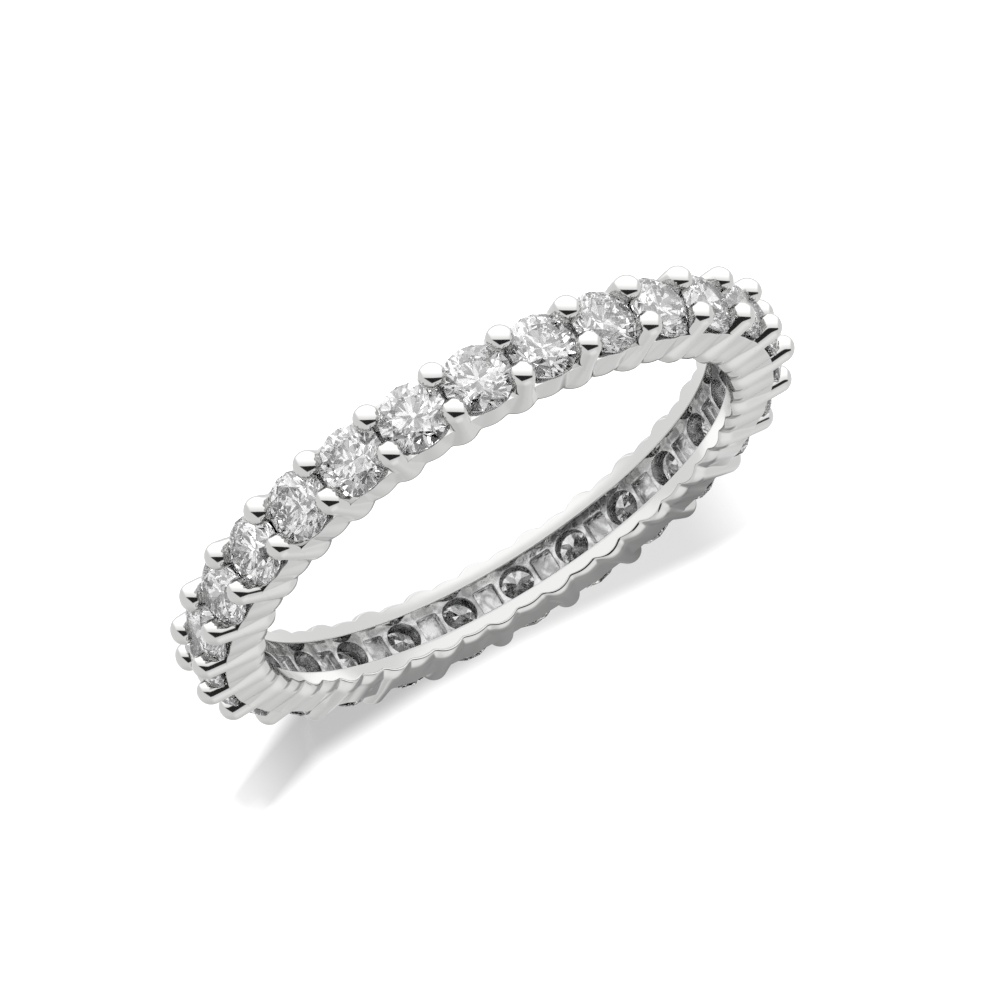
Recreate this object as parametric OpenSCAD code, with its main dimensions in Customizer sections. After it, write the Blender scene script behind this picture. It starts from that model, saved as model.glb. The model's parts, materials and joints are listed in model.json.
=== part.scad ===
// Full eternity ring: round brilliants all the way round, held in shared claws.
// The ring lies on its side. Its axis is +Z, and the origin is the middle of its underside.

/* [Finger hole] */
// Inside diameter of the ring
finger_d = 16.5; // [14:0.1:22]

/* [Stones] */
// Girdle diameter of each stone
stone_d = 2.2; // [1.7:0.05:2.8]
// Least gap between the girdles of two neighbours
stone_gap = 0.06; // [0.04:0.01:0.15]
// Height from the finger hole to the point of a stone
culet_lift = 0.6; // [0.4:0.01:0.9]
// Table width, as a share of the girdle diameter
table_share = 0.56; // [0.52:0.01:0.62]
// Crown height, as a share of the girdle diameter
crown_share = 0.16; // [0.12:0.005:0.17]
// Pavilion depth, as a share of the girdle diameter
pavilion_share = 0.43; // [0.41:0.005:0.45]
// Thickness of the girdle
girdle_t = 0.055; // [0.03:0.005:0.09]
// Turn of each stone in its seat against the one before it
stone_turn = 17; // [0:1:44]

/* [Claws] */
// Diameter of a claw and of its ball tip
claw_d = 0.84; // [0.7:0.01:0.95]
// Height of a ball's centre above the girdles
claw_rise = 0.36; // [0.25:0.01:0.6]
// How far a claw laps over the girdle of a stone
claw_lap = 0.18; // [0.1:0.01:0.22]
// How far the foot of a claw stands out from the flank of the hoop
claw_proud = 0.21; // [0.12:0.01:0.3]

/* [Hoop] */
// How far the flank of the hoop stands inside the girdles
flank_inset = 0.06; // [0.04:0.01:0.1]
// Width of each flat rail, from the channel to the flank
rail_w = 0.5; // [0.35:0.01:0.6]
// Depth of the channel between the rails
channel_depth = 0.45; // [0.3:0.01:0.6]
// Drop from the girdles to the top of the seat walls
seat_drop = 0.17; // [0.15:0.01:0.25]
// Drop from the girdles to the bridges between the seats
bridge_drop = 0.45; // [0.35:0.01:0.5]
// Width of a seat panel, the low round rib between two claws
panel_w = 1.3; // [1:0.01:1.4]
// How far a panel stands out from the flank of the hoop
panel_proud = 0.06; // [0.04:0.01:0.1]
// How far a panel ends below the top of its seat wall
panel_drop = 0.02; // [0.01:0.01:0.05]
// Bevel that eases the edge of the finger hole at the feet of the claws
edge_bevel = 0.12; // [0.05:0.01:0.2]

/* [Cuts] */
// Clearance between a stone and the metal round it
seat_clear = 0.03; // [0.02:0.005:0.05]
// Diameter of the open hole under each stone
azure_d = 1.06; // [0.8:0.01:1.1]
// Length of the blind pocket between two holes, round the ring
pocket_l = 0.7; // [0.4:0.01:0.75]
// Width of the pocket, across the ring
pocket_w = 0.76; // [0.5:0.01:0.9]
// Depth of the pocket below the floor of the channel
pocket_depth = 0.25; // [0.1:0.01:0.3]

/* [Hidden] */
$fn = 72;
// Overshoot of a cut past the face it opens
over = 0.2;

finger_r = finger_d / 2;
stone_r = stone_d / 2;
claw_r = claw_d / 2;

// Heights in a stone, from the middle of its girdle
girdle_half = girdle_t / 2;
crown_z = girdle_half + crown_share * stone_d;
culet_z = -girdle_half - pavilion_share * stone_d;

// Radii of the ring's rows, from its axis
girdle_r = finger_r + culet_lift - culet_z;
tip_r = girdle_r + claw_rise;
floor_r = finger_r + channel_depth;
seat_r = girdle_r - seat_drop;
bridge_r = girdle_r - bridge_drop;

// As many stones as fit, evenly spaced
stone_count = floor(180 / atan((stone_r + stone_gap / 2) / girdle_r));
pitch = 360 / stone_count;

// Widths across the ring, from its middle plane
hoop_half = stone_r - flank_inset;
channel_half = hoop_half - rail_w;
ring_half = hoop_half + claw_proud;
claw_reach = stone_r + claw_r - claw_lap;
claw_z = sqrt(pow(claw_reach, 2) - pow(girdle_r * sin(pitch / 2), 2));

// Lean of a claw towards the middle, so that its foot meets the ring's full width
lean_out = ring_half - claw_z;
lean_up = girdle_r - finger_r;
claw_lean = acos(claw_r / norm([lean_out, lean_up])) - atan2(lean_up, lean_out);
claw_foot_z = claw_z + lean_up * tan(claw_lean);
claw_l = (tip_r - finger_r) / cos(claw_lean);

// A brilliant has eight facets of each main kind, a step of so many degrees apart
step = 45;
table_r = table_share * stone_r;
star_share = 0.5;
lower_share = 0.23;
table_mid_r = table_r * cos(step / 2);
star_r = table_mid_r + star_share * (stone_r - table_mid_r);
star_z = crown_z - (crown_z - girdle_half) * (star_r * cos(step / 2) - table_r) / (stone_r - table_r);
lower_r = lower_share * stone_r;
lower_z = culet_z - (culet_z + girdle_half) * lower_r * cos(step / 2) / stone_r;

function stone_name(k) = str("stone_", k < 10 ? "0" : "", k);

// Points of one row of a stone, each `gap` degrees apart from `start`
function stone_row(r, z, start, gap) =
    [for (a = [start : gap : start + 360 - gap / 2]) [r * cos(a), r * sin(a), z]];

// Places a piece k pitches round the ring, at the height of its middle plane
module round_ring(k) {
    rotate([0, 0, k * pitch]) translate([0, 0, ring_half]) children();
}

// Turns +Z outwards along the ring's radius, at distance r from its axis
module outwards(r) {
    translate([r, 0, 0]) rotate([0, 90, 0]) children();
}

// Closed band that joins both rails, the floor between them and the seat walls
module hoop() {
    translate([0, 0, ring_half]) difference() {
        cylinder(r = seat_r, h = 2 * hoop_half, center = true);
        difference() {
            cylinder(r = seat_r + over, h = 2 * channel_half, center = true);
            cylinder(r = bridge_r, h = 2 * hoop_half, center = true);
        }
    }
}

// Round column with a ball tip, of the diameter of the column
module claw() {
    rotate_extrude() intersection() {
        union() {
            translate([0, -over]) square([claw_r, claw_l + over]);
            translate([0, claw_l]) circle(r = claw_r);
        }
        translate([0, -over]) square([claw_d, claw_l + claw_d]);
    }
}

module claw_pair() {
    for (side = [-1, 1])
        translate([finger_r, 0, side * claw_foot_z]) rotate([0, 90 + side * claw_lean, 0]) claw();
}

// Low round rib on each flank, under the middle of a stone
module panel_pair() {
    for (side = [-1, 1])
        translate([finger_r - over, 0, side * (hoop_half + panel_proud - panel_w / 2)])
            rotate([0, 90, 0]) cylinder(d = panel_w, h = seat_r - panel_drop - finger_r + over);
}

// Room for one stone, its outline grown by the clearance
module seat_cut() {
    c = seat_clear;
    rotate_extrude() polygon([
        [0, culet_z - 2 * c],
        [lower_r + c, lower_z - c],
        [stone_r + c, -girdle_half - c],
        [stone_r + c, girdle_half + c],
        [star_r + c, star_z + c],
        [table_r + c, crown_z + c],
        [0, crown_z + c]
    ]);
}

// Finger hole with its two bevelled edges, and the channel between the rails
module inside_cut() {
    wide = finger_r + edge_bevel + over;
    full = 2 * ring_half;
    rotate_extrude() polygon([
        [0, -over],
        [wide, -over],
        [finger_r, edge_bevel],
        [finger_r, ring_half - channel_half],
        [floor_r, ring_half - channel_half],
        [floor_r, ring_half + channel_half],
        [finger_r, ring_half + channel_half],
        [finger_r, full - edge_bevel],
        [wide, full + over],
        [0, full + over]
    ]);
}

module setting() {
    color([0.83, 0.84, 0.86]) difference() {
        union() {
            hoop();
            for (k = [0 : stone_count - 1]) {
                round_ring(k) claw_pair();
                round_ring(k + 0.5) panel_pair();
            }
        }
        inside_cut();
        for (k = [0 : stone_count - 1]) {
            round_ring(k + 0.5) outwards(girdle_r) seat_cut();
            round_ring(k + 0.5) outwards(finger_r) cylinder(d = azure_d, h = girdle_r - finger_r);
            round_ring(k) translate([floor_r - over, -pocket_l / 2, -pocket_w / 2])
                cube([pocket_depth + over, pocket_l, pocket_w]);
        }
    }
}

// Round brilliant with its table outwards: table, stars, kites, upper facets, girdle,
// lower facets and mains, in that order
module brilliant() {
    table_row = stone_row(table_r, crown_z, 0, step);
    rows = concat(
        table_row,
        stone_row(star_r, star_z, step / 2, step),
        stone_row(stone_r, girdle_half, 0, step / 2),
        stone_row(stone_r, -girdle_half, 0, step / 2),
        stone_row(lower_r, lower_z, step / 2, step),
        [[0, 0, culet_z]]
    );
    mains = len(table_row);
    star = mains;
    top = 2 * mains;
    bottom = 4 * mains;
    lower = 6 * mains;
    culet = 7 * mains;
    last = mains - 1;
    next = [for (i = [0 : last]) (i + 1) % mains];
    prev = [for (i = [0 : last]) (i + last) % mains];
    polyhedron(points = rows, convexity = 2, faces = concat(
        [[for (i = [0 : last]) last - i]],
        [for (i = [0 : last]) [next[i], star + i, i]],
        [for (i = [0 : last]) [star + i, top + 2 * i, star + prev[i], i]],
        [for (i = [0 : last]) [top + 2 * i + 1, top + 2 * i, star + i]],
        [for (i = [0 : last]) [top + 2 * next[i], top + 2 * i + 1, star + i]],
        [for (i = [0 : last]) [top + 2 * i, top + 2 * i + 1, bottom + 2 * i + 1, bottom + 2 * i]],
        [for (i = [0 : last])
            [top + 2 * i + 1, top + 2 * next[i], bottom + 2 * next[i], bottom + 2 * i + 1]],
        [for (i = [0 : last]) [lower + i, bottom + 2 * i, bottom + 2 * i + 1]],
        [for (i = [0 : last]) [lower + i, bottom + 2 * i + 1, bottom + 2 * next[i]]],
        [for (i = [0 : last]) [culet, lower + prev[i], bottom + 2 * i, lower + i]]
    ));
}

module stone(k) {
    color([0.93, 0.96, 1.0])
        round_ring(k - 0.5) outwards(girdle_r) rotate([0, 0, k * stone_turn]) brilliant();
}

setting();
for (k = [1 : stone_count]) stone(k);
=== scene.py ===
# Dresses the eternity ring: a polished white gold setting with shared round claws, and clear
# round brilliants. The ring lies on its side on a white table, its finger hole along +Z.
import json
import math

import bpy
import numpy as np
from mathutils import Matrix, Vector


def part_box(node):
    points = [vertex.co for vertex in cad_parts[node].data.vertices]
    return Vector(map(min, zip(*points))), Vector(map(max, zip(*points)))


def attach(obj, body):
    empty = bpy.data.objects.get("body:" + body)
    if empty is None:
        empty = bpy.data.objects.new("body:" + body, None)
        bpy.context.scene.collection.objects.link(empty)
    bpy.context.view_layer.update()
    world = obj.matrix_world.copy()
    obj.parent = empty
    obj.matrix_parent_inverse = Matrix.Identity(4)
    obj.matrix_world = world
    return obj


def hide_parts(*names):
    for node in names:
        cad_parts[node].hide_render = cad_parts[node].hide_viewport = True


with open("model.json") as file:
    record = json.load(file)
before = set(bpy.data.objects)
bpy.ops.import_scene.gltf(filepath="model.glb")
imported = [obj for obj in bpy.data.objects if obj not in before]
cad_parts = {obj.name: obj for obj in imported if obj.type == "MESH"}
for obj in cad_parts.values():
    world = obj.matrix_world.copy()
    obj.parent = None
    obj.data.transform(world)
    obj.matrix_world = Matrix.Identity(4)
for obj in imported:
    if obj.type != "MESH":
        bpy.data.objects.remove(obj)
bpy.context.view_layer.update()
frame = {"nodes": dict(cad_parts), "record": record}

# Sizes in millimetres, the same as the solids' own
MM = 0.001
BORE = next(m for m in frame["record"]["mounts"] if m["name"] == "finger_bore")
FINGER_R = BORE["dims"]["r_mm"]
RING_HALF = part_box("setting")[1][2] / MM / 2
STONES = sum(name.startswith("stone_") for name in frame["nodes"])
PITCH = 2 * math.pi / STONES

# Stones: heights are from the middle of the girdle
STONE_R = 1.1
TABLE_SHARE = 0.56
GIRDLE_HALF = 0.0275
CROWN = 0.352
PAVILION = 0.946
CULET_LIFT = 0.6
TABLE_R = TABLE_SHARE * STONE_R
CROWN_Z = GIRDLE_HALF + CROWN
CULET_Z = -GIRDLE_HALF - PAVILION
GIRDLE_R = FINGER_R + CULET_LIFT - CULET_Z

# Claws
CLAW_R = 0.42
CLAW_RISE = 0.36
CLAW_LAP = 0.18
TIP_R = GIRDLE_R + CLAW_RISE

# Hoop, the channel inside it, and the cuts in both
HOOP_HALF = 1.04
CHANNEL_HALF = 0.54
CHANNEL_DEPTH = 0.45
SEAT_DROP = 0.17
BRIDGE_DROP = 0.45
SEAT_CLEAR = 0.03
AZURE_R = 0.53
POCKET_L = 0.70
POCKET_W = 0.76
POCKET_DEPTH = 0.25
FLOOR_R = FINGER_R + CHANNEL_DEPTH
SEAT_R = GIRDLE_R - SEAT_DROP
BRIDGE_R = GIRDLE_R - BRIDGE_DROP

# A claw leans towards the middle from its foot at the ring's full width
CLAW_Z = math.sqrt((STONE_R + CLAW_R - CLAW_LAP) ** 2 - (GIRDLE_R * math.sin(PITCH / 2)) ** 2)
LEAN_OUT = RING_HALF - CLAW_Z
LEAN_UP = GIRDLE_R - FINGER_R
LEAN = math.acos(CLAW_R / math.hypot(LEAN_OUT, LEAN_UP)) - math.atan2(LEAN_UP, LEAN_OUT)
CLAW_FOOT_Z = CLAW_Z + LEAN_UP * math.tan(LEAN)

# Half of an eight-fold stone's step, and the row of points between its table and its girdle
HALF_STEP = math.pi / 8
STAR_R = (TABLE_R * math.cos(HALF_STEP) + STONE_R) / 2
STAR_Z = CROWN_Z - CROWN * (STAR_R * math.cos(HALF_STEP) - TABLE_R) / (STONE_R - TABLE_R)

# Angle between two faces past which their edge stays sharp
CREASE = math.radians(40)
# Height given to a seat's cone past the girdle, above any metal
NO_SEAT = 1.0
# Rounds in which a height on a cone and a radius settle on each other
SETTLE_ROUNDS = 3
# How far one piece of the setting runs on into the next, out of sight
TUCK = 0.02


def smooth_max(a, b, width):
    """Larger of two heights, with the corner between them filled over a width."""
    share = np.clip(0.5 + 0.5 * (a - b) / width, 0, 1)
    return b + (a - b) * share + width * share * (1 - share)


def ease(low, high, x):
    """Goes smoothly from 0 at low to 1 at high."""
    t = np.clip((x - low) / (high - low), 0, 1)
    return t * t * (3 - 2 * t)


def steps(start, end, count):
    """Column of evenly spread values from start to end, both included, with count steps between."""
    return np.linspace(start, end, count + 1)[:, None]


def build_mesh(name, points, faces):
    """Smooth mesh from points (n, 3) in millimetres and arrays of faces, sharp past the crease angle."""
    mesh = bpy.data.meshes.new(name)
    corners = [f.reshape(-1, f.shape[-1]) for f in faces]
    loops = np.concatenate([f.ravel() for f in corners])
    sizes = np.concatenate([np.full(len(f), f.shape[1]) for f in corners])
    mesh.vertices.add(len(points))
    mesh.vertices.foreach_set("co", (np.asarray(points) * MM).ravel())
    mesh.loops.add(len(loops))
    mesh.loops.foreach_set("vertex_index", loops)
    mesh.polygons.add(len(sizes))
    mesh.polygons.foreach_set("loop_start", np.cumsum(sizes) - sizes)
    mesh.update(calc_edges=True)
    mesh.validate()
    mesh.polygons.foreach_set("use_smooth", np.ones(len(mesh.polygons), dtype=bool))
    mesh.set_sharp_from_angle(angle=CREASE)
    return mesh


def grid_quads(rows, cols, wrap_rows, wrap_cols, flip=False):
    """Corners of a grid's quads, row by row, joined round where it wraps."""
    i = np.arange(rows if wrap_rows else rows - 1)[:, None]
    j = np.arange(cols if wrap_cols else cols - 1)[None, :]
    i2, j2 = (i + 1) % rows, (j + 1) % cols
    quads = np.stack([i * cols + j, i * cols + j2, i2 * cols + j2, i2 * cols + j], axis=-1)
    return quads[..., ::-1] if flip else quads


def pole_fan(pole, ring, flip=False):
    """Triangles from one pole point to a closed ring of points."""
    nxt = np.roll(ring, -1)
    fan = np.stack([np.full(len(ring), pole), ring, nxt], axis=-1)
    return fan[:, ::-1] if flip else fan


def repeat_round(points, faces, count, start):
    """Copies points (n, 3) and their faces round +Z, count times, the first turned by start."""
    turns = start + PITCH * np.arange(count)[:, None]
    x, y, z = points.T
    c, s = np.cos(turns), np.sin(turns)
    copies = np.stack([x * c - y * s, x * s + y * c, np.broadcast_to(z, (count, len(z)))], axis=-1)
    shift = len(points) * np.arange(count)[:, None, None]
    return copies.reshape(-1, 3), [(f.reshape(1, -1, f.shape[-1]) + shift) for f in faces]


def dress(name, mesh, material):
    """Piece of the setting: finished, riding on the ring, standing for the plain solid."""
    piece = bpy.data.objects.new(name, mesh)
    bpy.context.scene.collection.objects.link(piece)
    mesh.materials.append(material)
    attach(piece, "root")
    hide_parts("setting")


def seat_height(reach):
    """Height of the seat's cone above the girdle plane, at a distance from the stone's axis."""
    c = SEAT_CLEAR
    rise = (CULET_Z + GIRDLE_HALF) * (1 - reach / (STONE_R + c)) - GIRDLE_HALF - c
    return np.where(reach > STONE_R + c, NO_SEAT, rise)


def claw_middle(r):
    """Distance of a claw's axis from the ring's middle plane, at radius r."""
    return CLAW_FOOT_Z - (r - FINGER_R) * math.tan(LEAN)


def seat_top(angle, z):
    """Radius of a flank's top, at an angle from a stone and a distance from the middle plane: the seat
    walls' own, or that of the seat's cone where it is lower."""
    r = np.full(np.broadcast(angle, z).shape, SEAT_R)
    for _ in range(SETTLE_ROUNDS):
        height = seat_height(np.hypot(r * np.sin(angle), z))
        r = np.minimum(SEAT_R, (GIRDLE_R + height) / np.cos(angle))
    return r


# Columns of a flank over one pitch: over half a claw's rib, and from its groove to the next stone's middle
RIB_COLS = 12
RIB_TURN = math.radians(60)
PANEL_COLS = 15
PANEL_CROWD = 1.3
# Claw's rib: half width, rounding at the rail and at its top, and the radii between which it changes
RIB_X = 0.405
RIB_FOOT_R = 0.7
RIB_TOP_R = 0.44
RIB_NARROWS = (8.6, 9.5)
# How far the rib sinks behind its claw, and the radii between which it does
RIB_SINK = 0.005
RIB_SINKS = (9.3, 9.6)
# Least square of the height left in the rib's circle, past its side
RIB_SIDE = 1e-4
# Panel between two ribs: height at the rail, fall to the seat, and radius of its curve
PANEL_TOP = 1.14
PANEL_FALL = 0.06
PANEL_CURVE = 0.85
# Fill in the corners between rib, panel and hoop, and how much less it is at the seat
CORNER_FILL = 0.12
FILL_LOSS = 0.07
# Rail's outer edge: its rounding, the angle it turns by, and the stretch that eases into the flank
EDGE_ROUND = 0.1
EDGE_TURN = math.radians(58)
EASE_IN = 0.42
# Rounding of the rail's inner edge and of the flank's top
RAIL_ROUND = 0.04
TOP_ROUND = 0.02
# Steps of the profile on each of its stretches
WALL_STEPS = 3
ROUND_STEPS = 5
RAIL_STEPS = 7
EASE_STEPS = 8
FLANK_STEPS = 19
UNDER_STEPS = 10
# How far the channel's wall runs on behind its floor
WALL_HIDDEN = 0.1


def column_angles(r):
    """Angles from a claw for the columns of one pitch, at radius r: over the rib the columns keep a
    constant distance x = X sin(a) / sin(A) from the claw's line, and from its groove to the middle of
    the panel their angles go up by a power of an even share."""
    x = RIB_X * np.sin(np.linspace(0, RIB_TURN, RIB_COLS)) / math.sin(RIB_TURN)
    rib = np.arcsin(x / r)
    share = np.linspace(0, 1, PANEL_COLS)[1:] ** PANEL_CROWD
    panel = rib[..., -1:] + (PITCH / 2 - rib[..., -1:]) * share
    half = np.concatenate([rib, panel], axis=-1)
    return np.concatenate([-half[..., :0:-1], half[..., :-1]], axis=-1)


def flank(r, angle):
    """Distance of the flank from the middle plane: the largest of the claw's rib, an arc of radius R(r)
    that is broad at the rail and as round as the claw at its top, the panel z = top - y^2 / 2R, and the
    plain hoop."""
    x = r * np.sin(angle)
    across = r * np.sin(PITCH / 2 - np.abs(angle))
    round_r = RIB_FOOT_R + (RIB_TOP_R - RIB_FOOT_R) * ease(*RIB_NARROWS, r)
    sag = round_r - np.sqrt(np.maximum(round_r ** 2 - x * x, RIB_SIDE))
    rib = claw_middle(r) + CLAW_R / math.cos(LEAN) - RIB_SINK * ease(*RIB_SINKS, r) - sag
    top = PANEL_TOP - PANEL_FALL * (r - FINGER_R) / (SEAT_R - FINGER_R)
    panel = top - across ** 2 / (2 * PANEL_CURVE)
    fill = CORNER_FILL - FILL_LOSS * ease(FINGER_R, SEAT_R, r)
    return smooth_max(rib, smooth_max(panel, HOOP_HALF, fill), fill)


def rail_ring(side):
    """Closed ring of rail and flank on one side: at every angle the profile runs from the channel
    over the rail's face, round its edge, which eases into the flank, up the flank, and back under
    the stones. A row of it keeps one radius, but for the underside, which follows the seats."""
    quarter = steps(0, math.pi / 2, ROUND_STEPS)
    bend = steps(0, EDGE_TURN, ROUND_STEPS)
    rail_share = steps(0, 1, RAIL_STEPS)[1:-1]
    ease_share = steps(0, 1, EASE_STEPS)[1:]
    ease_fall = EASE_IN / math.tan(EDGE_TURN) / 2
    round_in = EDGE_ROUND * (1 - math.cos(EDGE_TURN))
    edge_in = np.concatenate([EDGE_ROUND * (1 - np.cos(bend)), round_in + EASE_IN * ease_share])
    edge_fall = np.concatenate([ease_fall + EDGE_ROUND * (math.sin(EDGE_TURN) - np.sin(bend)),
                                ease_fall * (1 - ease_share) ** 2])

    r_wall = steps(FLOOR_R + WALL_HIDDEN, FINGER_R + RAIL_ROUND, WALL_STEPS)[:-1]
    r_in = FINGER_R + RAIL_ROUND * (1 - np.sin(quarter))
    r_rail = np.full_like(rail_share, FINGER_R)
    r_edge = FINGER_R + edge_in
    r_flank = steps(FINGER_R + round_in + EASE_IN, SEAT_R - TOP_ROUND, FLANK_STEPS)[1:]
    r_under = np.full((ROUND_STEPS + UNDER_STEPS, 1), SEAT_R)
    stretches = [r_wall, r_in, r_rail, r_edge, r_flank, r_under]
    angle = column_angles(np.concatenate(stretches))
    ends = np.cumsum([len(rows) for rows in stretches])
    a_edge, a_flank, a_under = np.split(angle, ends[:-1])[3:]

    edge_z = flank(r_edge, a_edge) - edge_fall
    flank_z = flank(r_flank, a_flank)
    rail_low = CHANNEL_HALF + RAIL_ROUND
    round_z = flank_z[-1:] - TOP_ROUND * (1 - np.cos(quarter[1:]))
    fall_z = round_z[-1:] + (CHANNEL_HALF + TUCK - round_z[-1:]) * steps(0, 1, UNDER_STEPS)[1:]
    under_z = np.concatenate([round_z, fall_z])
    sink = np.concatenate([TOP_ROUND * (1 - np.sin(quarter[1:])), np.zeros((UNDER_STEPS, 1))])
    under_r = seat_top(PITCH / 2 - np.abs(a_under), under_z) - sink

    ones = np.ones(angle.shape[1])
    r = np.concatenate([rows * ones for rows in stretches[:-1]] + [under_r])
    z = np.concatenate([
        np.full_like(r_wall, CHANNEL_HALF) * ones,
        (rail_low - RAIL_ROUND * np.cos(quarter)) * ones,
        rail_low + (edge_z[:1] - rail_low) * rail_share,
        edge_z,
        flank_z,
        under_z,
    ])
    turn = angle[:, None, :] + PITCH * np.arange(STONES)[None, :, None]
    turn = turn.reshape(len(r), -1)
    r, z = np.tile(r, (1, STONES)), np.tile(z, (1, STONES))
    points = np.stack([r * np.cos(turn), r * np.sin(turn), RING_HALF + side * z], axis=-1)
    quads = grid_quads(*turn.shape, True, True, flip=side < 0)
    return points.reshape(-1, 3), [quads]


# Beds of the channel, one round each hole and one round each pocket
BED_SIDE = 20
BED_HALF_Z = CHANNEL_HALF + TUCK
HOLE_BED_HALF = 0.64
POCKET_BED_HALF = FLOOR_R * math.sin(PITCH / 2 - math.asin(HOLE_BED_HALF / FLOOR_R))
# Rounding of the edges of the holes and pockets
RIM_ROUND = 0.03
RIM_STEPS = 4
# Steps of a hole's bed over its floor, its wall and its seat, and how far it stays under the seat
HOLE_FLOOR_STEPS = 6
HOLE_WALL_STEPS = 5
HOLE_SEAT_STEPS = 8
WALL_MARGIN = 0.01
SEAT_MARGIN = 0.002
# Pocket: steps of its floor, rows down its wall, corners, narrowing at the bottom, and the bed's back
POCKET_FLOOR_STEPS = 3
POCKET_WALL_SHARES = (0.5, 0.9)
POCKET_BOTTOM_SHARES = (1, 0.5)
POCKET_CORNER = 0.07
POCKET_DRAFT = 0.025
BACK_DROP = 0.05
BACK_R = BRIDGE_R - BACK_DROP


def square_path(half_y, half_z, corner=0.0):
    """Closed path round a rectangle with BED_SIDE points a side, its corners rounded by a radius."""
    t = np.linspace(-1, 1, BED_SIDE, endpoint=False)
    one = np.ones(BED_SIDE)
    y = np.concatenate([t, one, -t, -one]) * half_y
    z = np.concatenate([-one, t, one, -t]) * half_z
    if corner:
        dy, dz = np.abs(y) - (half_y - corner), np.abs(z) - (half_z - corner)
        in_corner = (dy > 0) & (dz > 0)
        pull = corner / np.maximum(np.hypot(dy, dz), corner)
        y = np.where(in_corner, np.sign(y) * (half_y - corner + dy * pull), y)
        z = np.where(in_corner, np.sign(z) * (half_z - corner + dz * pull), z)
    return y, z


def on_cylinder(y, r):
    """Height over the middle of a bed at which a point y off its middle is at radius r."""
    return np.sqrt(r * r - y * y)


def blend_paths(inner, outer, shares):
    """Paths part of the way from an inner to an outer one, a row for each share."""
    s = shares[:, None]
    return inner[0] + (outer[0] - inner[0]) * s, inner[1] + (outer[1] - inner[1]) * s


def rounded_rim(path):
    """Rows that turn the edge of a cut from the channel's floor into its wall: a quarter circle, where
    path(d) is the cut's outline grown by d."""
    rows = []
    for a in np.linspace(0, math.pi / 2, RIM_STEPS + 1)[1:]:
        y, z = path(RIM_ROUND * (1 - math.sin(a)))
        rows.append((on_cylinder(y, FLOOR_R) + RIM_ROUND * (1 - math.cos(a)), y, z))
    return rows


def hole_bed():
    """Block of the channel's floor round one hole, closed like a ring of rectangular section: floor,
    hole wall, seat cone and sides. Heights are along the stone's axis."""
    turn = np.arange(4 * BED_SIDE) * math.pi / (2 * BED_SIDE) - 3 * math.pi / 4
    border = square_path(HOLE_BED_HALF, BED_HALF_Z)

    def rim(grow):
        return (AZURE_R + grow) * np.cos(turn), (AZURE_R + grow) * np.sin(turn)

    y, z = blend_paths(rim(RIM_ROUND), border, np.linspace(1, 0, HOLE_FLOOR_STEPS + 1))
    rows = [(on_cylinder(y, FLOOR_R), y, z)] + rounded_rim(rim)
    y, z = rim(0)
    low = on_cylinder(y, FLOOR_R) + RIM_ROUND
    high = GIRDLE_R + seat_height(np.full(len(y), AZURE_R)) - WALL_MARGIN
    for share in np.linspace(0, 1, HOLE_WALL_STEPS + 1)[1:]:
        rows.append((low + (high - low) * share, y, z))
    y, z = blend_paths(rim(0), border, np.linspace(0, 1, HOLE_SEAT_STEPS + 1)[1:])
    top = np.minimum(GIRDLE_R + seat_height(np.hypot(y, z)), on_cylinder(y, BRIDGE_R))
    rows.append((top - SEAT_MARGIN, y, z))
    h, y, z = (np.vstack(part) for part in zip(*rows))
    points = np.stack([h, y, z], axis=-1)
    return points.reshape(-1, 3), [grid_quads(*h.shape, True, True, flip=True)]


def pocket_bed():
    """Block of the channel's floor round one blind pocket: a back, floor, pocket wall and its bottom."""
    border = square_path(POCKET_BED_HALF, BED_HALF_Z)
    count = len(border[0])
    bottom = np.full(count, FLOOR_R + POCKET_DEPTH)

    def mouth(grow):
        return square_path(POCKET_L / 2 + grow, POCKET_W / 2 + grow, POCKET_CORNER + grow)

    y, z = blend_paths(mouth(RIM_ROUND), border, np.linspace(1, 0, POCKET_FLOOR_STEPS + 1))
    rows = [(np.full(count, BACK_R), *border), (on_cylinder(y, FLOOR_R), y, z)] + rounded_rim(mouth)
    y, z = mouth(0)
    for share in POCKET_WALL_SHARES:
        rows.append((on_cylinder(y, FLOOR_R) * (1 - share) + bottom * share, y, z))
    y, z = mouth(-POCKET_DRAFT)
    for share in POCKET_BOTTOM_SHARES:
        rows.append((bottom, y * share, z * share))
    h, y, z = (np.vstack(part) for part in zip(*rows))
    points = np.stack([h, y, z], axis=-1).reshape(-1, 3)
    poles = np.array([[BACK_R, 0, 0], [bottom[0], 0, 0]])
    last = len(points)
    first = np.arange(count)
    faces = [
        grid_quads(*h.shape, False, True, flip=True),
        pole_fan(last, first, flip=True),
        pole_fan(last + 1, last - count + first),
    ]
    return np.concatenate([points, poles]), faces


# Claws: columns round one, rows of its column and of its ball, and the radius of its hidden base
CLAW_COLS = 40
COLUMN_ROWS = 16
BALL_ROWS = 14
CLAW_BASE_R = 8.8
# Share by which a column is thinner at its foot and at its base, and the radii where each ends
FOOT_THIN = 0.012
FOOT_RISE = (8.9, 9.3)
BASE_THIN = 0.3
BASE_RISE = (CLAW_BASE_R, CLAW_BASE_R + 0.05)
# Radii between which a column swells into its ball, and sways to one side
SWELL_RISE = (9.45, 9.95)
SWAY_RISE = (9.5, 10.2)
# Gap between a claw and the facets of a stone
STONE_MARGIN = 0.012
# Ball against column: mean swell, how much more or less by side, spread by hand, and the flattest ball
BALL_SWELL = 1.03
SIDE_SWELL = 0.03
HAND_SPREAD = 0.02
FLATTEST = 0.88
HAND_SEED = 7
# Guard against a division by nothing
TINY = 1e-6


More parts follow.
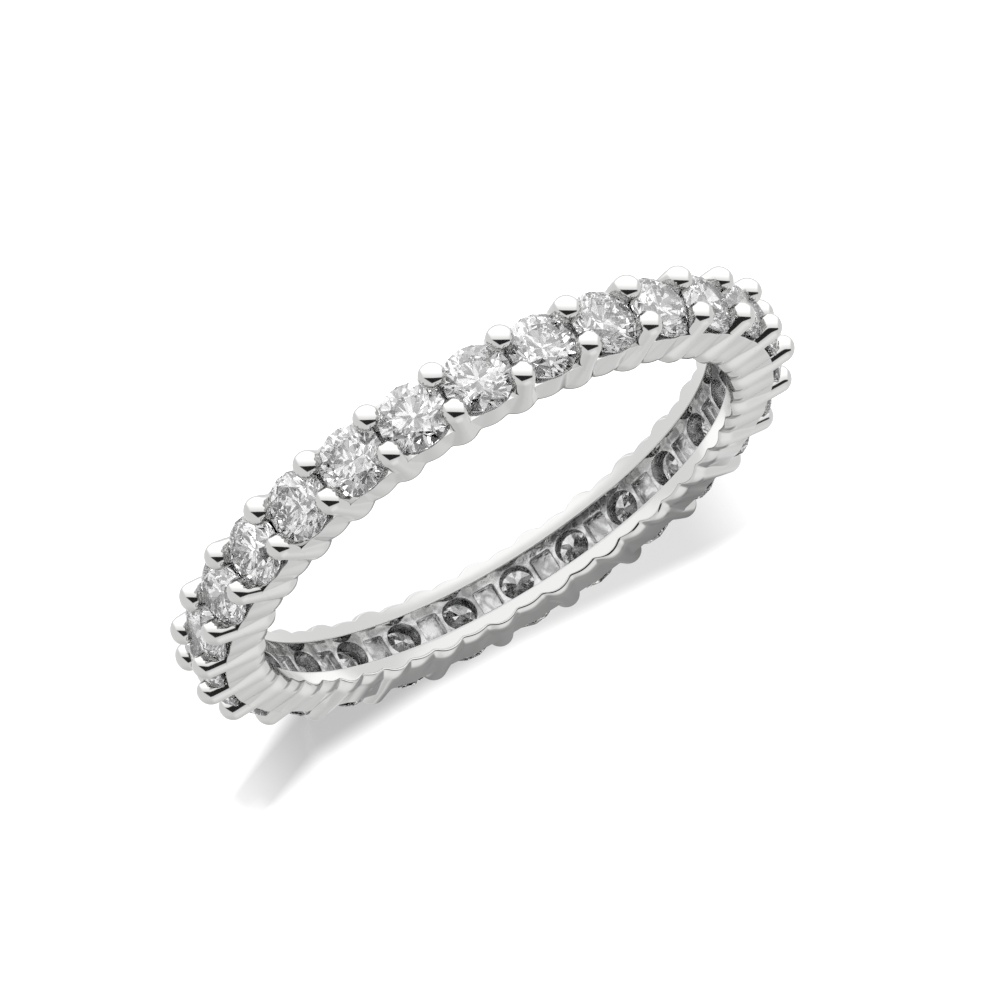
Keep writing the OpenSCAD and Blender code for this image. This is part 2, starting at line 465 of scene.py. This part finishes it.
def stone_outline(height):
    """Radius that a stone's facets sweep, at a height above the middle of its girdle."""
    heights = [CULET_Z, -GIRDLE_HALF, GIRDLE_HALF, STAR_Z, CROWN_Z]
    return np.interp(height, heights, [0, STONE_R, STONE_R, STAR_R, TABLE_R], right=0)


def clear_of_stones(points):
    """Moves points of a claw at angle 0 out of the two stones beside it, straight away from the
    stone's axis."""
    for turn in (-PITCH / 2, PITCH / 2):
        c, s = math.cos(turn), math.sin(turn)
        h = points[..., 0] * c + points[..., 1] * s
        y = -points[..., 0] * s + points[..., 1] * c
        z = points[..., 2]
        reach = np.hypot(y, z)
        keep = stone_outline(h - GIRDLE_R) + STONE_MARGIN
        inside = (reach < keep) & (h > GIRDLE_R + CULET_Z / 2)
        grow = np.where(inside, keep / np.maximum(reach, TINY), 1)
        y, z = y * grow, z * grow
        points = np.stack([h * c - y * s, h * s + y * c, z], axis=-1)
    return points


def claw(side, swell, rise, sway, squash):
    """Round column with a ball tip: circles of radius R(t) round a leaning axis, closed at both ends.
    The column swells into the ball over its last part."""
    tip = TIP_R + rise
    ball = CLAW_R * swell
    column = np.linspace(CLAW_BASE_R, tip, COLUMN_ROWS)
    bend = np.linspace(0, math.pi / 2, BALL_ROWS)[1:-1]
    grown = 1 + (swell - 1) * ease(*SWELL_RISE, column)
    thin = FOOT_THIN * (1 - ease(*FOOT_RISE, column)) + BASE_THIN * (1 - ease(*BASE_RISE, column))
    radius = np.concatenate([CLAW_R * grown * (1 - thin), ball * np.cos(bend)])[:, None]
    along = np.concatenate([column, tip + ball * squash * np.sin(bend)])[:, None]
    around = np.arange(CLAW_COLS) * 2 * math.pi / CLAW_COLS
    y = radius * np.cos(around) + sway * ease(*SWAY_RISE, along)
    z = claw_middle(along) + radius * np.sin(around) / math.cos(LEAN)
    points = np.stack([np.broadcast_to(along, y.shape), y, z], axis=-1)
    top = tip + ball * squash
    poles = np.array([[CLAW_BASE_R, 0, claw_middle(CLAW_BASE_R)], [top, sway, claw_middle(top)]])
    points = clear_of_stones(np.concatenate([points.reshape(-1, 3), poles]))
    points[:, 2] = RING_HALF + side * points[:, 2]
    rows = len(along)
    last = rows * CLAW_COLS
    first = np.arange(CLAW_COLS)
    turned = side < 0
    faces = [
        grid_quads(rows, CLAW_COLS, False, True, flip=turned),
        pole_fan(last, first, flip=not turned),
        pole_fan(last + 1, last - CLAW_COLS + first, flip=turned),
    ]
    return points, faces


def all_claws(rng):
    """Every claw of the ring, each a little different, as one mesh."""
    points, faces, shift = [], [], 0
    for k in range(STONES):
        for side in (-1, 1):
            swell = BALL_SWELL - SIDE_SWELL * side + rng.uniform(-HAND_SPREAD, HAND_SPREAD)
            rise = rng.uniform(-HAND_SPREAD, HAND_SPREAD)
            sway = rng.uniform(-HAND_SPREAD, HAND_SPREAD)
            squash = rng.uniform(FLATTEST, 1)
            p, f = repeat_round(*claw(side, swell, rise, sway, squash), 1, k * PITCH)
            points.append(p)
            faces.append([part.reshape(-1, part.shape[-1]) + shift for part in f])
            shift += len(p)
    return np.concatenate(points), [np.concatenate(group) for group in zip(*faces)]


# Node helpers
def connect(tree, socket, value):
    """Feeds a socket from another socket, or sets it to a number or vector."""
    if isinstance(value, bpy.types.NodeSocket):
        tree.links.new(value, socket)
    else:
        socket.default_value = value


def calc(tree, operation, *values):
    """Result of one sum of a tree: values are numbers or sockets."""
    node = tree.nodes.new("ShaderNodeMath")
    node.operation = operation
    for socket, value in zip(node.inputs, values):
        connect(tree, socket, value)
    return node.outputs[0]


def vector_calc(tree, operation, *values):
    """Result of one vector sum of a tree: a number for a dot product, else a vector."""
    node = tree.nodes.new("ShaderNodeVectorMath")
    node.operation = operation
    for socket, value in zip(node.inputs, values):
        connect(tree, socket, value)
    return node.outputs["Value" if operation == "DOT_PRODUCT" else "Vector"]


def blend(tree, value, low, high, start=0, end=1, kind="SMOOTHSTEP"):
    """Goes from start to end while a value goes from low to high, or down to high where that is the
    lesser number. The change is smooth, unless kind is LINEAR."""
    if low > high:
        low, high, start, end = high, low, end, start
    node = tree.nodes.new("ShaderNodeMapRange")
    node.interpolation_type = kind
    for name, number in (("From Min", low), ("From Max", high), ("To Min", start), ("To Max", end)):
        node.inputs[name].default_value = number
    tree.links.new(value, node.inputs["Value"])
    return node.outputs["Result"]


def edge_distance(tree, a, b, start, end):
    """Signed distance of the point (a, b) from the line through two points, positive on its left."""
    length = math.hypot(end[0] - start[0], end[1] - start[1])
    nx, ny = -(end[1] - start[1]) / length, (end[0] - start[0]) / length
    part_a = calc(tree, "MULTIPLY_ADD", a, nx, -start[0] * nx - start[1] * ny)
    return calc(tree, "MULTIPLY_ADD", b, ny, part_a)


def noise(tree, scale, detail, distortion=0.0):
    """Cloudy pattern in the object's own space; the scale is in features to the metre."""
    place = tree.nodes.new("ShaderNodeTexCoord")
    node = tree.nodes.new("ShaderNodeTexNoise")
    node.inputs["Scale"].default_value = scale
    node.inputs["Detail"].default_value = detail
    node.inputs["Distortion"].default_value = distortion
    tree.links.new(place.outputs["Object"], node.inputs["Vector"])
    return node.outputs["Fac"]


def grey(tree, shade):
    """Colour that has one shade in all its channels."""
    mix = tree.nodes.new("ShaderNodeCombineColor")
    for channel in mix.inputs:
        tree.links.new(shade, channel)
    return mix.outputs["Color"]


def bump(tree, shader, height, distance):
    """Raises the surface of a shader by a height pattern; the distance is in metres."""
    node = tree.nodes.new("ShaderNodeBump")
    node.inputs["Strength"].default_value = BUMP_STRENGTH
    node.inputs["Distance"].default_value = distance
    tree.links.new(height, node.inputs["Height"])
    tree.links.new(node.outputs["Normal"], shader.inputs["Normal"])


# Materials: shades and roughness go from the first to the second value of their pair
GOLD_COLOUR = (0.63, 0.628, 0.622, 1)
GOLD_ROUGHNESS = (0.05, 0.14)
GOLD_WAVE = 0.00001
CAST_SHADES = (0.34, 0.7)
CAST_ROUGHNESS = (0.18, 0.34)
CAST_PITS = 0.00004
DIAMOND_SHADES = (0.48, 0.55)
DIAMOND_IOR = 2.42
BUMP_STRENGTH = 0.5
# Spans in which most of a noise pattern's values lie, wide and narrow
WIDE = (0.3, 0.7)
NARROW = (0.36, 0.62)


def new_material(name):
    """Empty node material with its Principled shader."""
    material = bpy.data.materials.new(name)
    material.use_nodes = True
    return material, material.node_tree, material.node_tree.nodes["Principled BSDF"]


def polished_gold():
    """White gold, buffed by hand: faint clouds in the gloss on a face that is a little wavy."""
    material, tree, shader = new_material("polished_white_gold")
    shader.inputs["Base Color"].default_value = GOLD_COLOUR
    shader.inputs["Metallic"].default_value = 1
    clouds = noise(tree, scale=900, detail=4)
    tree.links.new(blend(tree, clouds, 0, 1, *GOLD_ROUGHNESS, kind="LINEAR"), shader.inputs["Roughness"])
    bump(tree, shader, noise(tree, scale=1100, detail=2), GOLD_WAVE)
    return material


def cast_gold():
    """The same gold as it was cast: wrinkled and pitted, with lighter and darker patches."""
    material, tree, shader = new_material("cast_white_gold")
    shader.inputs["Metallic"].default_value = 1
    wrinkles = noise(tree, scale=3600, detail=4, distortion=1.2)
    patches = noise(tree, scale=2200, detail=3, distortion=0.8)
    tree.links.new(grey(tree, blend(tree, patches, *NARROW, *CAST_SHADES)), shader.inputs["Base Color"])
    tree.links.new(blend(tree, wrinkles, *WIDE, *CAST_ROUGHNESS), shader.inputs["Roughness"])
    bump(tree, shader, wrinkles, CAST_PITS)
    return material


def clear_diamond():
    """Clear diamond, greyed by a faint cloudy smoke until its tones are those of the photograph."""
    material, tree, shader = new_material("clear_diamond")
    smoke = blend(tree, noise(tree, scale=900, detail=2), *WIDE, *DIAMOND_SHADES)
    tree.links.new(grey(tree, smoke), shader.inputs["Base Color"])
    shader.inputs["Roughness"].default_value = 0
    shader.inputs["IOR"].default_value = DIAMOND_IOR
    shader.inputs["Transmission Weight"].default_value = 1
    return material


GOLD = polished_gold()
CAST = cast_gold()
DIAMOND = clear_diamond()

for side, name in ((-1, "rail_lower"), (1, "rail_upper")):
    dress(name, build_mesh(name, *rail_ring(side)), GOLD)

for name, bed, start in (("hole_beds", hole_bed, PITCH / 2), ("pocket_beds", pocket_bed, 0)):
    bed_points, bed_faces = repeat_round(*bed(), STONES, start)
    bed_points[:, 2] += RING_HALF
    dress(name, build_mesh(name, bed_points, bed_faces), CAST)

dress("claws", build_mesh("claws", *all_claws(np.random.default_rng(HAND_SEED))), GOLD)

for name, node in frame["nodes"].items():
    if name.startswith("stone_"):
        node.data.materials.clear()
        node.data.materials.append(DIAMOND)

# Table, in millimetres. All of it glows a little though it is no lamp, and more where this painted light
# is to hide the ring's shadow
TABLE_HALF = 1500
TABLE_SHADE = 0.5
PAPER_ROUGHNESS = 0.9
PAPER_SHINE = 0.14
GLOW = 0.7
# Near and far side of the strip that keeps the shadow, and over how much each fades
GLOW_Y = 8.5
GLOW_SOFT = 3
FAR_GLOW_Y = 16.8
FAR_SOFT = 1.6
# Bends of the far side: place along X, the way along X in which it bends, and its slope
FAR_BENDS = ((4.5, -1, 0.38), (8.5, 1, 0.6))
# Slanting end of the strip beside the ring, and its tip, which fades
SLANT_FROM = (8.8, 11.7)
SLANT_TO = (11.4, 15.7)
SLANT_SOFT = 0.9
TIP_X = (8.2, 12.4)
TIP_GLOW = 0.45
# Two lifts of painted light that fade the shadow towards -X
SIDE_X = (5, 1)
SIDE_GLOW = 0.2
END_X = (-4.5, -8)
END_GLOW = 0.4
# Glowing disc inside the ring, just under the table, brighter ahead at its near and far side: seen only in
# mirrors, a painted reflection
DISC_R = 8.2
DISC_SIDES = 64
DISC_Z = -0.1
DISC_SHINE = 1.05
DISC_MIDDLE = 0.48
DISC_X = (4.5, 1.5)
DISC_FAR_Y = (6.1, 6.8)
DISC_NEAR_Y = (5, 3.5)
DISC_NEAR = 0.7


def glow_paper(name, albedo):
    """Matt paper that can glow though it is no lamp, for painted light."""
    material, tree, shader = new_material(name)
    shader.inputs["Base Color"].default_value = (albedo, albedo, albedo, 1)
    shader.inputs["Roughness"].default_value = PAPER_ROUGHNESS
    shader.inputs["Specular IOR Level"].default_value = 0
    shader.inputs["Emission Color"].default_value = (1, 1, 1, 1)
    return material, tree


def shine(tree, strength):
    """Sets how brightly a paper shines, by a pattern."""
    tree.links.new(strength, tree.nodes["Principled BSDF"].inputs["Emission Strength"])


def place_mm(tree):
    """Where a point lies in its object's own space: x, y and z in millimetres."""
    place = tree.nodes.new("ShaderNodeTexCoord")
    axes = tree.nodes.new("ShaderNodeSeparateXYZ")
    scaled = vector_calc(tree, "MULTIPLY", place.outputs["Object"], (1 / MM, 1 / MM, 1 / MM))
    tree.links.new(scaled, axes.inputs["Vector"])
    return tuple(axes.outputs)


def upright(left, right, y, low, high):
    """Corners of an upright sheet across the view, in millimetres."""
    return [(left, y, low), (right, y, low), (right, y, high), (left, y, high)]


def stage_sheet(name, corners, material, seen):
    """Flat sheet on the stage that only the named kinds of ray meet."""
    mesh = bpy.data.meshes.new(name)
    mesh.from_pydata([[MM * v for v in corner] for corner in corners], [], [tuple(range(len(corners)))])
    mesh.materials.append(material)
    sheet = bpy.data.objects.new(name, mesh)
    bpy.context.scene.collection.objects.link(sheet)
    sheet.visible_camera = "camera" in seen
    sheet.visible_diffuse = "diffuse" in seen
    sheet.visible_glossy = "glossy" in seen
    sheet.visible_transmission = "transmission" in seen
    sheet.visible_shadow = "shadow" in seen


def table_top():
    """Matt pale table top that glows though it is no lamp. This painted light hides the ring's shadow
    but for one strip behind the ring: the strip runs along +X, ends at a slanting line beside the ring,
    and fades to its tip. Its far side bends away at both ends, and towards -X it fades out."""
    paper, tree = glow_paper("pale_paper", TABLE_SHADE)
    x, y, _ = place_mm(tree)
    far = y
    for bend_x, way, slope in FAR_BENDS:
        past = calc(tree, "MAXIMUM", calc(tree, "MULTIPLY_ADD", x, way, -way * bend_x), 0)
        far = calc(tree, "MULTIPLY_ADD", past, -slope, far)
    slant = edge_distance(tree, x, y, SLANT_TO, SLANT_FROM)
    glow = blend(tree, y, GLOW_Y + GLOW_SOFT, GLOW_Y - GLOW_SOFT, 0, GLOW)
    for side in (blend(tree, far, FAR_GLOW_Y - FAR_SOFT, FAR_GLOW_Y + FAR_SOFT, 0, GLOW),
                 blend(tree, slant, -SLANT_SOFT, SLANT_SOFT, 0, GLOW),
                 blend(tree, x, *TIP_X, 0, TIP_GLOW)):
        glow = calc(tree, "MAXIMUM", glow, side)
    lift = calc(tree, "ADD", blend(tree, x, *SIDE_X, PAPER_SHINE, PAPER_SHINE + SIDE_GLOW),
                blend(tree, x, *END_X, 0, END_GLOW))
    shine(tree, calc(tree, "ADD", glow, lift))
    half = TABLE_HALF
    corners = [(-half, -half, 0), (half, -half, 0), (half, half, 0), (-half, half, 0)]
    stage_sheet("table_top", corners, paper, ("camera", "diffuse", "shadow"))


def hole_glow():
    """Glowing disc under the table inside the ring that only mirrors see, a painted reflection: the
    polished rails of the far wall show it, brightest straight ahead."""
    paper, tree = glow_paper("lit_paper", 0)
    x, y, _ = place_mm(tree)
    ends = calc(tree, "MAXIMUM", blend(tree, y, *DISC_FAR_Y), blend(tree, y, *DISC_NEAR_Y, 0, DISC_NEAR))
    middle = blend(tree, calc(tree, "ABSOLUTE", x), *DISC_X, 0, DISC_MIDDLE)
    shine(tree, calc(tree, "ADD", calc(tree, "MULTIPLY", middle, ends), DISC_SHINE))
    around = np.arange(DISC_SIDES) * 2 * math.pi / DISC_SIDES
    corners = [(DISC_R * math.cos(t), DISC_R * math.sin(t), DISC_Z) for t in around]
    stage_sheet("hole_glow", corners, paper, ("glossy",))


table_top()
hole_glow()

# Camera, fitted to the photograph: a long lens, turned about its own axis
ELEVATION = math.radians(18.69)
ROLL = math.radians(-147.86)
AZIMUTH = math.radians(0.225)
PIXELS_PER_MM = 32.83
CENTRE_U = 483.18
CENTRE_V = 496.15
FRAME_PIXELS = 1000
DISTANCE = 1000.0
SENSOR = 36
# What the camera shows lies between these distances, in metres
CLIP_START = 0.01
CLIP_END = 10

# The way to the lens, and the photograph's right and up as seen from there
LENS_SIDE = Vector((0, -math.cos(ELEVATION), math.sin(ELEVATION)))
LEVEL_RIGHT = Vector((1, 0, 0))
LEVEL_UP = Vector((0, math.sin(ELEVATION), math.cos(ELEVATION)))
PHOTO_RIGHT = math.cos(ROLL) * LEVEL_RIGHT - math.sin(ROLL) * LEVEL_UP
PHOTO_UP = math.sin(ROLL) * LEVEL_RIGHT + math.cos(ROLL) * LEVEL_UP


def add_camera():
    """Camera whose centre line passes the ring's middle at the offset that the photograph shows."""
    offset_x = (FRAME_PIXELS / 2 - CENTRE_U) / PIXELS_PER_MM
    offset_y = (CENTRE_V - FRAME_PIXELS / 2) / PIXELS_PER_MM
    place = PHOTO_RIGHT * offset_x + PHOTO_UP * offset_y + LENS_SIDE * DISTANCE
    pose = Matrix((PHOTO_RIGHT, PHOTO_UP, LENS_SIDE)).transposed().to_4x4()
    turn = Matrix.Rotation(AZIMUTH, 4, "Z")
    pose = turn @ Matrix.Translation(place * MM) @ pose
    camera = bpy.data.objects.new("camera", bpy.data.cameras.new("camera"))
    camera.matrix_world = Matrix.Translation((0, 0, RING_HALF * MM)) @ pose
    camera.data.sensor_width = SENSOR
    camera.data.lens = SENSOR * DISTANCE * PIXELS_PER_MM / FRAME_PIXELS
    camera.data.clip_start = CLIP_START
    camera.data.clip_end = CLIP_END
    bpy.context.scene.collection.objects.link(camera)
    bpy.context.scene.camera = camera


add_camera()

# Light from all round: a and b are places across a mirror ball's disc, to the right and downwards
TENT = 0.95
LOW_TENT = 0.74
LOW_B = (0.55, 1.0)
# Shade that faces turned up and level across the view show towards the lens
SIDE_SHADE = 0.5
SHADE_Z = (0.7, 0.9)
SHADE_X = (0.4, 0.15)
# Bright card: its light at the top and at the foot, and its edges
CARD_TOP = 1.75
CARD_FOOT = 1.15
CARD_B = (0.05, -0.45)
CARD_EDGE = 0.03
CARD_RIM = 0.42
CARD_LEFT = ((-0.52, 0.1), (-0.82, -0.5))
CARD_RIGHT = 0.66
# Black flag under it, and its edges
FLAG_DARK = 0.03
FLAG_LEFT = ((-0.05, 0.42), (-0.62, 0.0))
FLAG_FOOT = ((0.7, 0.15), (0.03, 0.42))
FLAG_RIGHT = 0.7
# Half widths of crisp and of soft edges
CRISP = 0.015
SOFT = 0.07
# Near card, in millimetres, and where its dark part fades upwards and sideways: a glowing sheet that
# paints darker reflections in the far wall's flank
NEAR_HALF_X = 7.5
NEAR_Y = 11.2
NEAR_TOP = 8.4
NEAR_FADE = 5.4
NEAR_SIDE_FADE = 1.5
NEAR_SPAN = (0.35, 0.65)
NEAR_SHADE = (0.2, 0.45)
# Black card: a dimly glowing sheet that paints dark reflections in the stones
BLACK_HALF_X = 50
BLACK_Y = 40
BLACK_Z = (-45, -2)
BLACK_SHADE = (0.08, 0.25)
# Glowing box round the stage for the stones: painted reflections that only they see
TENT_HALF = 700
TENT_GRAIN = 4
TENT_SPAN = (0.4, 0.6)
TENT_SHADES = (0.32, 1.9)
# Small strong lights for the stones: brightness, how much of it their dim parts have, size and middles
SPARK = 6
SPARK_DIM = 0.8
SPARK_SIZE = 14
SPARKS = ((-55, -70, 40), (45, -80, 55), (5, -60, 110))
# Key light, with the way towards it
KEY_POWER = 30
KEY_ANGLE = math.radians(3.5)
KEY_SIDE = (-1.6, -16, 2.2)


def light_tent():
    """Light from all round, laid out as a ball shows it: for a direction d, the point (a, b) is where
    a mirror ball seen from the lens side reflects it, a to the right and b downwards. A bright card
    fills the top of the ball, a black flag lies under it, and the low far side is dimmer."""
    world = bpy.data.worlds.new("light_tent")
    world.use_nodes = True
    tree = world.node_tree
    place = tree.nodes.new("ShaderNodeTexCoord")
    toward = vector_calc(tree, "NORMALIZE", place.outputs["Generated"])
    half = vector_calc(tree, "NORMALIZE", vector_calc(tree, "ADD", toward, LENS_SIDE))
    a = vector_calc(tree, "DOT_PRODUCT", half, PHOTO_RIGHT)
    b = vector_calc(tree, "DOT_PRODUCT", half, -PHOTO_UP)
    c = vector_calc(tree, "DOT_PRODUCT", half, LENS_SIDE)
    axes = tree.nodes.new("ShaderNodeSeparateXYZ")
    tree.links.new(half, axes.inputs["Vector"])

    level = calc(tree, "MULTIPLY", blend(tree, axes.outputs["Z"], *SHADE_Z),
                 blend(tree, calc(tree, "ABSOLUTE", axes.outputs["X"]), *SHADE_X, 0, -SIDE_SHADE))
    light = calc(tree, "MULTIPLY_ADD", level, axes.outputs["Y"], blend(tree, b, *LOW_B, TENT, LOW_TENT))

    card = blend(tree, b, CARD_EDGE + CRISP, CARD_EDGE - CRISP)
    for side in (blend(tree, edge_distance(tree, a, b, *CARD_LEFT), -SOFT, SOFT),
                 blend(tree, a, CARD_RIGHT + SOFT, CARD_RIGHT - SOFT),
                 blend(tree, c, CARD_RIM - SOFT, CARD_RIM + SOFT)):
        card = calc(tree, "MULTIPLY", card, side)
    bright = blend(tree, b, *CARD_B, CARD_FOOT, CARD_TOP)
    light = calc(tree, "MULTIPLY_ADD", card, calc(tree, "SUBTRACT", bright, light), light)

    flag = blend(tree, b, CARD_EDGE, CARD_EDGE + 2 * CRISP)
    for side in (blend(tree, a, FLAG_RIGHT + CRISP, FLAG_RIGHT - CRISP),
                 blend(tree, edge_distance(tree, a, b, *FLAG_LEFT), -CRISP, CRISP),
                 blend(tree, edge_distance(tree, a, b, *FLAG_FOOT), -CRISP, CRISP)):
        flag = calc(tree, "MULTIPLY", flag, side)
    light = calc(tree, "MULTIPLY", light, calc(tree, "MULTIPLY_ADD", flag, FLAG_DARK - 1, 1))

    background = tree.nodes["Background"]
    tree.links.new(light, background.inputs["Strength"])
    background.inputs["Color"].default_value = (1, 1, 1, 1)
    bpy.context.scene.world = world


def dark_cards():
    """Dimly glowing cards low behind the ring, seen only in reflections: painted shade. A near one shows
    in the flank of the far wall as darker reflections; a larger one only the clear stones show, which
    gives them depth and darkens them as seen through the holes."""
    paper, tree = glow_paper("near_card", 0)
    x, _, z = place_mm(tree)
    shade = blend(tree, noise(tree, scale=150, detail=2), *NEAR_SPAN, *NEAR_SHADE)
    sideways = blend(tree, calc(tree, "ABSOLUTE", x), NEAR_HALF_X - NEAR_SIDE_FADE, NEAR_HALF_X)
    fade = calc(tree, "MAXIMUM", blend(tree, z, NEAR_FADE, NEAR_TOP), sideways)
    lift = calc(tree, "MULTIPLY", calc(tree, "SUBTRACT", TENT, shade), fade)
    shine(tree, calc(tree, "ADD", shade, lift))
    stage_sheet("near_card", upright(-NEAR_HALF_X, NEAR_HALF_X, NEAR_Y, 0, NEAR_TOP), paper, ("glossy",))

    paper, tree = glow_paper("black_card", 0)
    shine(tree, blend(tree, noise(tree, scale=60, detail=2), *WIDE, *BLACK_SHADE))
    corners = upright(-BLACK_HALF_X, BLACK_HALF_X, BLACK_Y, *BLACK_Z)
    stage_sheet("black_card", corners, paper, ("transmission",))


def stone_tent():
    """Large box round the stage that only the clear stones see: its walls glow, softly between dim and
    bright, so that every facet shows another tone of painted reflection."""
    paper, tree = glow_paper("stone_tent", 0)
    shine(tree, blend(tree, noise(tree, scale=TENT_GRAIN, detail=1), *TENT_SPAN, *TENT_SHADES))
    half = TENT_HALF
    wall = ((-half, -half), (half, -half), (half, half), (-half, half))
    for side, end in (("low", -half), ("high", half)):
        stage_sheet("stone_tent_x_" + side, [(end, p, q) for p, q in wall], paper, ("transmission",))
        stage_sheet("stone_tent_y_" + side, [(p, end, q) for p, q in wall], paper, ("transmission",))
        stage_sheet("stone_tent_z_" + side, [(p, q, end) for p, q in wall], paper, ("transmission",))


def sparks():
    """Small strong lights on the lens side that only the clear stones catch."""
    for k, (x, y, z) in enumerate(SPARKS):
        paper, tree = glow_paper("spark_%d" % k, 0)
        shine(tree, blend(tree, noise(tree, scale=90, detail=1), *WIDE, SPARK_DIM * SPARK, SPARK))
        corners = upright(x - SPARK_SIZE, x + SPARK_SIZE, y, z - SPARK_SIZE, z + SPARK_SIZE)
        stage_sheet("spark_%d" % k, corners, paper, ("transmission",))


def key_light():
    """Low soft light from the lens side, which only the matt table answers to: it throws the shadow
    behind the ring."""
    key = bpy.data.objects.new("key", bpy.data.lights.new("key", "SUN"))
    key.data.energy = KEY_POWER
    key.data.angle = KEY_ANGLE
    key.rotation_euler = Vector(KEY_SIDE).to_track_quat("Z", "Y").to_euler()
    key.visible_glossy = False
    key.visible_transmission = False
    bpy.context.scene.collection.objects.link(key)


light_tent()
dark_cards()
stone_tent()
sparks()
key_light()

# Plain tones, and bounces enough for light to find its way out of the stones
scene = bpy.context.scene
scene.view_settings.view_transform = "Standard"
scene.cycles.glossy_bounces = 12
scene.cycles.transmission_bounces = 28
scene.cycles.max_bounces = 30
